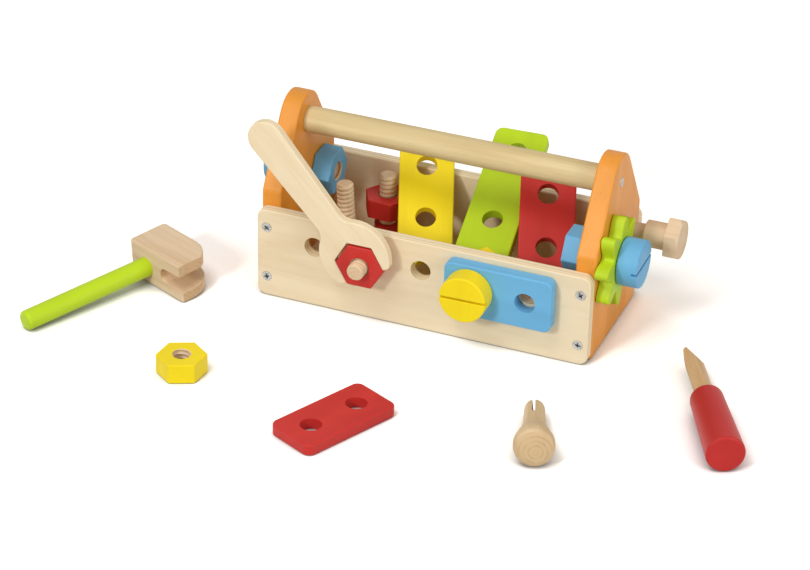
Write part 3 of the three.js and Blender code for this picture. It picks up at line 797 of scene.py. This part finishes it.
def end_outline(depth):
    """The end plate's outline: x along the box's depth, y up from the ground."""
    half = depth / 2
    reach = hypot(half, SHOULDER_HEIGHT - HANDLE_HEIGHT)
    touch = atan2(SHOULDER_HEIGHT - HANDLE_HEIGHT, half) + acos(END_TOP_RADIUS / reach)
    crown = END_TOP_RADIUS / cos((pi / 2 - touch) / 2)
    crown_turn = (touch + pi / 2) / 2
    crown_x = crown * cos(crown_turn)
    crown_y = HANDLE_HEIGHT + crown * sin(crown_turn)
    return rounded([
        (-half, 0, FOOT_CORNER), (half, 0, FOOT_CORNER), (half, SHOULDER_HEIGHT, SHOULDER_CORNER),
        (crown_x, crown_y, END_TOP_RADIUS), (-crown_x, crown_y, END_TOP_RADIUS),
        (-half, SHOULDER_HEIGHT, SHOULDER_CORNER),
    ])


def add_end_plates():
    for number, (side, sign) in enumerate((("left", -1), ("right", 1))):
        node = f"end_plate_{side}"
        matrix, (depth, height, thickness) = frame_of(node, OUTWARD[side], (0, sign, 0))
        foot = Matrix.Translation((0, -mm(height / 2), 0))
        holes = [circle(s * HOLE_PITCH / 2, END_HOLE_HEIGHT, HOLE_RADIUS) for s in (-1, 1)]
        screw = countersunk_wall(0, HANDLE_HEIGHT, thickness)
        stain = painted_wood(f"{side}_stain", ORANGE, 1.3 + number, grain="y",
                             grain_shows=0.2, gloss=0.44, specular=0.4)
        add_board(f"{side}_end", node, matrix @ foot, end_outline(depth), thickness,
                  END_PLATE_EASE, stain, holes, [screw])


def add_floor_and_handle():
    matrix, (length, depth, thickness) = frame_of("bottom_board", (0, 0, 1), (1, 0, 0))
    add_board("floor_board", "bottom_board", matrix, rectangle(length, depth, radius=0.6),
              thickness, 0.5, plywood("floor_plywood", thickness, seed=2.9))

    matrix, (length, _, diameter) = frame_of("handle", (0, 0, 1), (1, 0, 0))
    profile = rod_profile(diameter / 2, -length / 2, length / 2, low_ease=0.4, high_ease=0.4)
    add_piece("carrying_dowel", turned("handle", profile), "handle",
              [natural_wood("handle_beech", BEECH, seed=4.2)],
              matrix @ Matrix.Rotation(pi / 2, 4, "Y"))


def cross_outline(reach, width):
    """A four-armed recess: how far its arms reach and how wide they are."""
    half = width / 2
    corner = half + 0.25
    quarter = [(reach, -half), (reach, half), (corner, corner)]
    outline = []
    for turn in range(4):
        c, s = round(cos(turn * pi / 2)), round(sin(turn * pi / 2))
        outline += [(c * x - s * y, s * x + c * y) for x, y in quarter]
    return outline


def wood_screw():
    """A countersunk cross-head screw: its own z points out of its head, seat at z = 0."""
    head, shank, proud = SCREW_HEAD_RADIUS, SCREW_SHANK_RADIUS, SCREW_PROUD
    body = ((0.3, -SCREW_LENGTH), (shank, SCREW_POINT - SCREW_LENGTH), (shank, shank - head),
            (head - 0.15, -0.2), (head, 0), (head - 0.1, proud * 0.7), (head - 0.35, proud))
    recess = ((2.55, 1.15, proud), (2.2, 0.95, -0.5), (1.2, 0.75, -2.4))  # reach, width, height
    bm = bmesh.new()
    body_rings = [new_ring(bm, at_height(circle(0, 0, radius, SCREW_STEPS), height))
                  for radius, height in body]
    recess_rings = [new_ring(bm, at_height(cross_outline(reach, width), height))
                    for reach, width, height in recess]
    for rings in (body_rings, recess_rings):
        for first, second in zip(rings, rings[1:]):
            join_rings(bm, first, second)
    bm.faces.new(body_rings[0][::-1])
    bm.faces.new(recess_rings[-1])
    rims = edges_of(bm, body_rings[-1]) + edges_of(bm, recess_rings[0])
    bmesh.ops.triangle_fill(bm, edges=rims, use_beauty=True)
    return finished_mesh("wood_screw", bm)


def add_wood_screws():
    plating = zinc()
    names = [row["node"] for row in record["subparts"] if "_screw_" in row["node"]]
    for number, node in enumerate(names):
        words = node.split("_")
        side = words[0] if words[0] in OUTWARD else words[-1]
        matrix, (_, _, length) = frame_of(node, OUTWARD[side], (0, 0, 1))
        turn = Matrix.Rotation(number * 1.1 + 0.3, 4, "Z")  # no two recesses lie alike
        add_piece(f"{node}_head", wood_screw(), node, [plating],
                  matrix @ raised(length / 2 - SCREW_PROUD) @ turn)


add_panels()
add_end_plates()
add_floor_and_handle()
add_wood_screws()


# ------------ bolts, screws and nuts
def hex_head(name):
    """A bolt's head, its corners turned off on the outer face. Its top is at z = 0."""
    thickness = HEX_HEAD_THICKNESS
    block = prism(name, hexagon(HEX_HEAD_RADIUS, HEX_HEAD_CORNER), thickness, ease=0.8)
    block.transform(raised(-thickness))
    wide = HEX_HEAD_RADIUS + 4
    low = -thickness - 2
    face = HEX_HEAD_RADIUS * cos(pi / 6) - HEX_HEAD_CHAMFER
    cone = turned("cone", [(0, low), (wide, low), (wide, face - wide), (face, 0), (0, 0)], 128)
    return carved(block, [cone], ease=0.5, operation="INTERSECT")


def add_thread(node, matrix, whole_length, seat, wood):
    """The threaded shank from a bolt's or screw's seat to its end."""
    mesh = closed_solid("shank", [shank_wall(whole_length + seat)])
    add_piece(f"{node}_thread", mesh, node, [wood], matrix @ raised(seat + OVERLAP),
              stands_for_node=False)


def add_hex_bolt(node, seed, collar_length=COLLAR_LENGTH, paint=None):
    """A bolt in its pieces: hexagonal head, collar if it has one, and threaded shank."""
    matrix, length = threaded_frame(node)
    wood = maple(node, seed)
    finish = paint or wood
    add_piece(f"{node}_head", hex_head(node), node, [finish], matrix)
    seat = -HEX_HEAD_THICKNESS - collar_length
    if collar_length:
        top = -HEX_HEAD_THICKNESS + COLLAR_OVERLAP
        collar = turned("collar", rod_profile(COLLAR_RADIUS, seat, top, 0.9, 0.1))
        add_piece(f"{node}_collar", collar, node, [finish], matrix, stands_for_node=False)
    add_thread(node, matrix, length, seat, wood)


def add_slotted_screw(node, colour, seed):
    matrix, length = threaded_frame(node)
    seat = -SLOTTED_HEAD_THICKNESS
    profile = rod_profile(SLOTTED_HEAD_RADIUS, seat, 0, SLOTTED_HEAD_EASE, SLOTTED_HEAD_EASE)
    head = turned(node, profile)
    head.transform(Matrix.Rotation(pi / ROUND_STEPS, 4, "Z"))  # the slot clears its facets
    slot = box("slot", (SLOT_WIDTH, SLOT_TOOL_LENGTH, 2 * SLOT_DEPTH), (0, 0, 0))
    head = carved(head, [slot], ease=0.4)
    add_piece(f"{node}_head", head, node, [paint_of(node, colour, seed)], matrix)
    add_thread(node, matrix, length, seat, maple(node, seed))


def add_nut(node, colour, seed, bore=BORE_RADIUS):
    """A hexagonal nut, painted outside, bare wood in its threaded bore."""
    z = face_normals(node)[0]
    matrix, (_, _, thickness) = frame_of(node, z, face_beside(node, z))
    walls = [eased_wall(hexagon(NUT_RADIUS, NUT_CORNER), thickness, PAINTED_EASE),
             bore_wall(bore, thickness)]
    mesh = closed_solid(node, walls, hole_material=1)
    add_piece(f"{node}_hexagon", mesh, node, [paint_of(node, colour, seed), maple(node, seed)],
              matrix @ raised(-thickness / 2))


add_hex_bolt("front_bolt", 1.1, collar_length=0)
add_hex_bolt("end_bolt", 2.2)
add_hex_bolt("leaning_bolt", 3.3)
red_bolt_paint = painted_wood("red_bolt_paint", RED, 4.4, grain="z")
add_hex_bolt("red_bolt", 4.4, RED_COLLAR_LENGTH, red_bolt_paint)
add_slotted_screw("plate_screw", YELLOW, 5.1)
add_slotted_screw("gear_screw", BLUE, 5.2)
add_slotted_screw("left_screw", BLUE, 5.3)
add_nut("front_nut", RED, 6.1)
add_nut("red_bolt_nut", RED, 6.8)
add_nut("plate_nut", YELLOW, 7.5)
add_nut("gear_nut", BLUE, 8.2)
add_nut("left_nut", BLUE, 8.9)
add_nut("loose_nut", YELLOW, 9.6, LOOSE_BORE_RADIUS)


# ------------ strips, plates and gear
def add_strip(node, colour, seed, hole_places=None):
    matrix, (length, width, thickness) = flat_frame(node)
    if hole_places is None:
        count = round(length / HOLE_PITCH)
        hole_places = [(i - (count - 1) / 2) * HOLE_PITCH for i in range(count)]
    holes = [circle(x, 0, HOLE_RADIUS) for x in hole_places]
    add_board(f"{node}_board", node, matrix, rectangle(length, width, STRIP_CORNER), thickness,
              STRIP_EASE, paint_of(node, colour, seed), holes)


def green_hole_places():
    matrix, (length, _, _) = flat_frame("green_strip")
    upper = copysign(1, matrix.col[0].z)  # which way along the strip its upper end lies
    return [upper * (length / 2 - setback) for setback in GREEN_HOLE_SETBACKS]


def add_gear():
    node = "gear"
    matrix, (_, _, thickness) = frame_of(node, (1, 0, 0), (0, 1, 0))
    axis_y, axis_z = [1000 * value for value in joint_place(node)[1:]]
    away = points_of(node)[:, 1:] * 1000 - np.array([axis_y, axis_z])
    tip = away[np.linalg.norm(away, axis=1).argmax()]
    matrix.translation = Vector((matrix.translation.x, mm(axis_y), mm(axis_z)))
    turn = Matrix.Rotation(atan2(tip[1], tip[0]), 4, "Z")
    middle = (GEAR_TIP_RADIUS + GEAR_VALLEY_RADIUS) / 2
    swing = (GEAR_TIP_RADIUS - GEAR_VALLEY_RADIUS) / 2
    steps = GEAR_TEETH * GEAR_TOOTH_STEPS
    outline = []
    for i in range(steps):
        angle = 2 * pi * i / steps
        outline += on_circle(0, 0, middle + swing * cos(GEAR_TEETH * angle), [angle])
    add_board("gear_wheel", node, matrix @ turn, outline, thickness, PAINTED_EASE,
              paint_of(node, GREEN, 9.1), [circle(0, 0, HOLE_RADIUS)])


add_strip("yellow_strip", YELLOW, 7.1)
add_strip("green_strip", GREEN, 7.4, green_hole_places())
add_strip("red_strip", RED, 7.7)
add_strip("blue_plate", BLUE, 8.2)
add_strip("red_plate", RED, 8.6)
add_gear()


# ------------ spanner
def spanner_outline():
    """The middle of the nut in the jaw is at 0, 0 and the handle points along x."""
    skew = radians(SPANNER_SKEW)
    head_x = SPANNER_JAW_OFFSET * cos(skew)
    head_y = SPANNER_JAW_OFFSET * sin(skew)

    def in_jaw(along, across):
        return (along * cos(skew) - across * sin(skew),
                along * sin(skew) + across * cos(skew))

    def cheek(start, end):
        """The corner that, rounded, gives the head's arc from one turn to the other."""
        distance = SPANNER_HEAD_RADIUS / cos((end - start) / 2)
        turn = (start + end) / 2
        return head_x + distance * cos(turn), head_y + distance * sin(turn)

    half = NUT_RADIUS * cos(pi / 6) + GAP
    wall = half * tan(pi / 6) + SPANNER_SLACK
    root = half / cos(pi / 6) + SPANNER_SLACK
    mouth = -SPANNER_MOUTH
    outer, inner = SPANNER_MOUTH_CORNERS
    bend = radians(SPANNER_TIP_TURN)
    tip = SPANNER_HEAD_RADIUS - (mouth - SPANNER_JAW_OFFSET) * cos(bend)
    tip /= sin(bend)
    neck_turn = radians(SPANNER_NECK_TURN)
    neck_x = (SPANNER_HEAD_RADIUS - SPANNER_NECK * sin(neck_turn)) / cos(neck_turn)
    end = SPANNER_END_RADIUS
    end_x = head_x + SPANNER_REACH + end
    return rounded([
        (end_x, head_y - end, end - 1), (end_x, head_y + end, end - 1),
        (head_x + neck_x, head_y + SPANNER_NECK, SPANNER_NECK_CORNER),
        (*cheek(neck_turn, skew + bend), SPANNER_HEAD_RADIUS),
        (*in_jaw(mouth, tip), outer), (*in_jaw(mouth, half), inner), (*in_jaw(wall, half), 1),
        (*in_jaw(root, 0), 1), (*in_jaw(wall, -half), 1),
        (*in_jaw(mouth, -half), inner), (*in_jaw(mouth, -tip), outer),
        (*cheek(-neck_turn, skew - bend), SPANNER_HEAD_RADIUS),
        (head_x + neck_x, head_y - SPANNER_NECK, SPANNER_NECK_CORNER),
    ])


def add_spanner():
    node = "spanner"
    matrix, (_, _, thickness) = frame_of(node, (0, -1, 0), (1, 0, 0))
    nut_axis = joint_place("front_nut")
    matrix.translation = Vector((nut_axis[0], matrix.translation.y, nut_axis[2]))
    lean = radians(SPANNER_LEAN)
    mesh = prism(node, spanner_outline(), thickness, PAINTED_EASE)
    mesh.transform(Matrix.Rotation(lean, 4, "Z"))
    ply = plywood("spanner_plywood", thickness, seed=10.3, lean=lean)
    add_piece("spanner_board", mesh, node, [ply], matrix @ raised(-thickness / 2))


add_spanner()


# ------------ hammer, screwdriver and peg
def hammer_block(length, depth, height):
    """The head: x from its face to its claw, y away from the grip, z up. A corner is at 0, 0, 0."""
    foot, claw_foot, top = HAMMER_CORNERS
    outline = rounded([(0, 0, foot), (length, 0, claw_foot), (length, depth, CLAW_CORNER),
                       (0, depth, top)])
    block = prism("hammer_head", outline, height, HAMMER_EASE)
    slot_top = CLAW_FLOOR + CLAW_MOUTH
    slot_round = 0.42 * CLAW_MOUTH
    beyond = length + CLAW_OVERSHOOT
    slot = rounded([
        (CLAW_END, CLAW_FLOOR + CLAW_TAPER, slot_round), (length, CLAW_FLOOR, 1),
        (beyond, CLAW_FLOOR, 1), (beyond, slot_top, 1), (length, slot_top, 1),
        (CLAW_END, slot_top - CLAW_TAPER, slot_round),
    ])
    slot_tool = prism("slot", slot, depth + CLAW_OVERSHOOT, ease=0.5)
    slot_tool.transform(Matrix.Translation((0, mm(depth + CLAW_OVERSHOOT / 2), 0))
                        @ Matrix.Rotation(pi / 2, 4, "X"))
    trim = box("trim", (2 * CLAW_OVERSHOOT, 3 * depth, height),
               (beyond - CLAW_LIP_STEP, 0, CLAW_FLOOR + CLAW_MOUTH / 2 + height / 2))
    return carved(block, [slot_tool, trim], ease=0.7)


def add_hammer():
    grip_axis = pointing(long_axis("hammer_handle"),
                         middle_of("hammer_handle") - middle_of("hammer_head"))
    normals = face_normals("hammer_head")
    top = next(normal for normal in normals if normal[2] > 0.9)
    far_side = min(normals, key=lambda normal: normal @ grip_axis)
    matrix, (length, depth, height) = frame_of("hammer_head", top, np.cross(far_side, top))
    corner = Matrix.Translation((-mm(length / 2), -mm(depth / 2), -mm(height / 2)))
    # The head's end grain is darker than other pieces': part real end grain, part painted shade.
    add_piece("hammer_block", hammer_block(length, depth, height), "hammer_head",
              [maple("hammer", 11.2, grain="x", end_tone=1.3)], matrix @ corner)

    grip, (_, _, reach) = frame_of("hammer_handle", grip_axis, top)
    profile = rod_profile(HAMMER_GRIP_RADIUS, -reach / 2, reach / 2, 0.6, HAMMER_BUTT_EASE)
    add_piece("hammer_grip", turned("hammer_handle", profile), "hammer_handle",
              [painted_wood("hammer_paint", GREEN, 11.8, grain="z")], grip)


def add_screwdriver():
    axis = pointing(long_axis("screwdriver_blade"),
                    middle_of("screwdriver_blade") - middle_of("screwdriver_handle"))
    grip, (_, _, length) = frame_of("screwdriver_handle", axis, (0, 0, 1))
    half = length / 2
    profile = [(0, -half), *low_rim(GRIP_BUTT_RADIUS, -half, GRIP_BUTT_EASE),
               (GRIP_NECK_RADIUS, half - GRIP_NECK_EASE - 0.1),
               *high_rim(GRIP_NECK_RADIUS, half, GRIP_NECK_EASE)[1:], (0, half)]
    add_piece("screwdriver_grip", turned("screwdriver_handle", profile), "screwdriver_handle",
              [painted_wood("screwdriver_paint", DEEP_RED, 12.4, grain="z")], grip)

    flat = next(normal for normal in face_normals("screwdriver_blade")
                if SQUARE < abs(normal @ axis) < 0.6)
    blade, (_, _, length) = frame_of("screwdriver_blade", axis, flat - axis * (flat @ axis))
    half = length / 2
    dowel = turned("screwdriver_blade", rod_profile(BLADE_RADIUS, -half, half, 0.5, 1.2))
    slant = atan2(BLADE_RADIUS - BLADE_TIP / 2, BLADE_WEDGE)
    tools = []
    for side in (-1, 1):
        tool = box("bevel", (20, 40, 3 * BLADE_WEDGE), (side * 10, 0, 0))
        tool.transform(Matrix.Translation((mm(side * BLADE_TIP / 2), 0, mm(half)))
                       @ Matrix.Rotation(-side * slant, 4, "Y"))
        tools.append(tool)
    add_piece("screwdriver_dowel", carved(dowel, tools, ease=0.5), "screwdriver_blade",
              [natural_wood("blade_wood", DOWEL_WOOD, seed=12.9)], blade)


def add_peg():
    node = "peg"
    axis = -headward_axis(node)
    matrix, (_, _, length) = frame_of(node, axis, face_beside(node, axis))
    head, shank = PEG_HEAD_RADIUS, PEG_SHANK_RADIUS
    profile = softened([
        (0, 0), (0.7 * head, 0.5), (0.93 * head, 2.4), (head, 5), (head, 12), (0.93 * head, 16),
        (1.08 * shank, 41), (shank, length - 9), (0.9 * shank, length - 4.5),
        (0.6 * shank, length - 0.7), (0, length)])
    slot = box("slot", (PEG_SLOT_WIDTH, SLOT_TOOL_LENGTH, 2 * PEG_SLOT_LENGTH), (0, 0, length))
    body = carved(turned(node, profile), [slot], ease=0.5)
    add_piece("peg_body", body, node,
              [natural_wood("peg_beech", DARK_BEECH, seed=13.3, pith=(1, 3, 0))],
              matrix @ raised(-length / 2))


add_hammer()
add_screwdriver()
add_peg()


# ------------ studio, in metres
FLOOR_HALF_SIDE = 30
FLOOR_HEIGHT = -0.0003
FLOOR_TONE = 0.6  # as it lights the pieces
FLOOR_TONE_SEEN = 1.45
CONTACT_SHADOW_REACH = 0.02  # painted contact shadow: the floor is darkened within this distance of a piece on it
CONTACT_SHADOW_TONE = 0.32
WORLD_LIGHT = 0.42
WORLD_COLOUR = (1, 0.96, 0.9, 1)
LAMP_AIM = Vector((0, 0, 0.05))
LAMPS = (  # name, place, size, power in watts
    ("top", (-0.5, -1.2, 2.4), 0.9, 20),
    ("front", (-0.7, -2.4, 1.4), 0.4, 25),
    ("side", (2.4, -0.9, 1.1), 1.4, 27),
)
CAMERA_TURNS = (21.27, 30.24, 1.37)  # azimuth, elevation and roll, in degrees
CAMERA_AIM = Vector((-0.03937, -0.0053, 0))
CAMERA_DISTANCE = 2.56194
LENS = 127.05  # millimetres
SENSOR_WIDTH = 36


def seen_ray(tree):
    """1 for what the camera sees, also in gloss and glass, and 0 for light on the pieces."""
    path = add_node(tree, "ShaderNodeLightPath").outputs
    seen = calculated(tree, "MAXIMUM", path["Is Camera Ray"], path["Is Glossy Ray"])
    return calculated(tree, "MAXIMUM", seen, path["Is Transmission Ray"])


def add_stage():
    side, height = FLOOR_HALF_SIDE, FLOOR_HEIGHT
    floor = new_object("studio_floor", bpy.data.meshes.new("studio_floor"))
    corners = [(-side, -side, height), (side, -side, height),
               (side, side, height), (-side, side, height)]
    floor.data.from_pydata(corners, [], [(0, 1, 2, 3)])
    material = bpy.data.materials.new("floor_paper")
    material.use_nodes = True
    tree = material.node_tree
    shader = tree.nodes["Principled BSDF"]
    shader.inputs["Roughness"].default_value = 1.0
    shader.inputs["Specular IOR Level"].default_value = 0.0
    seen = seen_ray(tree)
    reach = {"Distance": CONTACT_SHADOW_REACH}
    # Painted contact shadow: occlusion darkens the floor that the camera sees near each piece.
    openness = add_node(tree, "ShaderNodeAmbientOcclusion", reach, samples=8).outputs["AO"]
    contact_shadow = remapped(tree, openness, 0.15, 0.9, CONTACT_SHADOW_TONE, 1)
    seen_tone = calculated(tree, "MULTIPLY", contact_shadow, FLOOR_TONE_SEEN)
    paper = mixed(tree, seen, (FLOOR_TONE,) * 3 + (1,), seen_tone)
    tree.links.new(paper, shader.inputs["Base Color"])
    floor.data.materials.append(material)


def add_world():
    world = bpy.data.worlds.new("studio")
    bpy.context.scene.world = world
    world.use_nodes = True
    tree = world.node_tree
    background = tree.nodes["Background"].inputs
    seen = seen_ray(tree)
    tree.links.new(remapped(tree, seen, 0, 1, WORLD_LIGHT, 1), background["Strength"])
    tree.links.new(mixed(tree, seen, WORLD_COLOUR, (1, 1, 1, 1)), background["Color"])


def add_lamps():
    for name, place, size, power in LAMPS:
        data = bpy.data.lights.new(name, "AREA")
        data.size = size
        data.energy = power
        lamp = new_object(name, data)
        lamp.location = place
        lamp.rotation_euler = (LAMP_AIM - Vector(place)).to_track_quat("-Z", "Y").to_euler()


def add_camera():
    azimuth, elevation, roll = (radians(angle) for angle in CAMERA_TURNS)
    forward = Vector((-sin(azimuth) * cos(elevation),
                      cos(azimuth) * cos(elevation), -sin(elevation)))
    right = Vector((cos(azimuth), sin(azimuth), 0))
    up = right.cross(forward)
    image_right = cos(roll) * right + sin(roll) * up
    image_up = cos(roll) * up - sin(roll) * right
    matrix = Matrix((image_right, image_up, -forward)).transposed().to_4x4()
    matrix.translation = CAMERA_AIM - forward * CAMERA_DISTANCE
    data = bpy.data.cameras.new("camera")
    data.lens = LENS
    data.sensor_width = SENSOR_WIDTH
    data.clip_end = 100
    camera = new_object("camera", data)
    camera.matrix_world = matrix
    bpy.context.scene.camera = camera


add_stage()
add_world()
add_lamps()
add_camera()
bpy.context.scene.view_settings.view_transform = "Standard"
